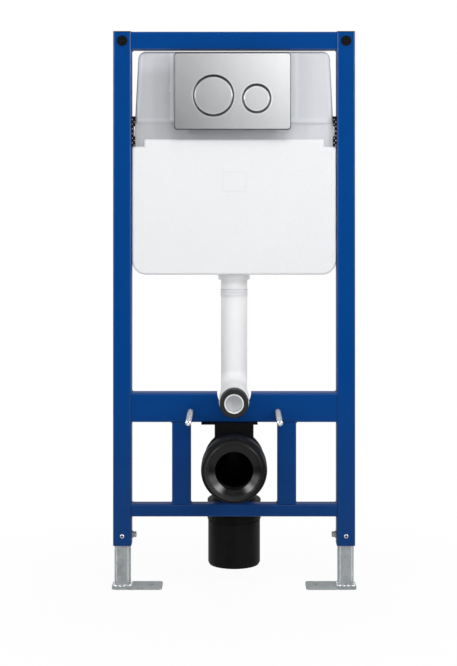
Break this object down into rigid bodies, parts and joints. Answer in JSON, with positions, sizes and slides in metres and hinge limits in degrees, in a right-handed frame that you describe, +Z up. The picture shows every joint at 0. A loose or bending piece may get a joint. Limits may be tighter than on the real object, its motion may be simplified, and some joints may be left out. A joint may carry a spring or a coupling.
{
  "type": "wall hung toilet frame",
  "caption": "Open steel pre-wall frame on telescopic feet with an insulated concealed cistern, dual push-button flush plate, flush elbow, waste bend and pan studs.",
  "frame": {"origin": "on the floor, on the frame's centreline, in the plane of the frame's front faces, which is the middle of the overall box", "axes": "+X to the right of someone facing the flush plate, +Y to the back towards the wall, +Z up"},
  "size_m": [0.504, 0.297, 1.15],
  "materials": {
    "frame_blue": "satin",
    "galvanised_steel": "satin",
    "zinc_stud": "satin",
    "black_plastic": "satin",
    "black_rubber": "matte",
    "tank_plastic": "satin",
    "white_foam": "matte",
    "satin_chrome": "satin",
    "white_plastic": "satin",
    "grey_seal": "satin"
  },
  "bodies": {
    "frame": {"left_upright": "frame_blue", "right_upright": "frame_blue", "top_rail": "frame_blue", "mid_rail": "frame_blue", "lower_rail": "frame_blue", "left_strut": "frame_blue", "right_strut": "frame_blue", "left_pan_stud": "zinc_stud", "right_pan_stud": "zinc_stud", "left_end_cap": "black_plastic", "right_end_cap": "black_plastic", "left_wall_bush": "black_plastic", "right_wall_bush": "black_plastic", "left_tank_clip": "black_plastic", "right_tank_clip": "black_plastic", "waste_bend": "black_plastic", "waste_mouth": "black_plastic", "waste_adapter": "black_plastic", "outlet_pipe": "black_plastic", "waste_bracket": "black_plastic", "flush_seal": "black_rubber", "waste_lip_seal": "black_rubber", "cistern_top_shell": "tank_plastic", "cistern_base_shell": "tank_plastic", "service_neck": "tank_plastic", "service_cover": "tank_plastic", "insulation_jacket": "white_foam", "flush_plate": "satin_chrome", "outlet_collar": "white_plastic", "flush_tailpiece": "white_plastic", "flush_elbow": "white_plastic", "flush_socket": "white_plastic", "flush_insert": "white_plastic", "flush_joint_ring": "grey_seal"},
    "left_foot": {"left_leg": "galvanised_steel", "left_foot_plate": "galvanised_steel"},
    "right_foot": {"right_leg": "galvanised_steel", "right_foot_plate": "galvanised_steel"},
    "full_button": {"full_flush_button": "satin_chrome"},
    "half_button": {"half_flush_button": "satin_chrome"}
  },
  "joints": [
    {"name": "left_leg_slide", "type": "slide", "parent": "frame", "child": "left_foot", "axis": [0, 0, -1], "range_m": [-0.078, 0.115]},
    {"name": "right_leg_slide", "type": "slide", "parent": "frame", "child": "right_foot", "axis": [0, 0, -1], "range_m": [-0.078, 0.115]},
    {"name": "full_flush_press", "type": "slide", "parent": "frame", "child": "full_button", "axis": [0, 1, 0], "range_m": [0, 0.006], "stiffness_N_per_m": 600, "springref_m": -0.004},
    {"name": "half_flush_press", "type": "slide", "parent": "frame", "child": "half_button", "axis": [0, 1, 0], "range_m": [0, 0.006], "stiffness_N_per_m": 600, "springref_m": -0.004}
  ]
}
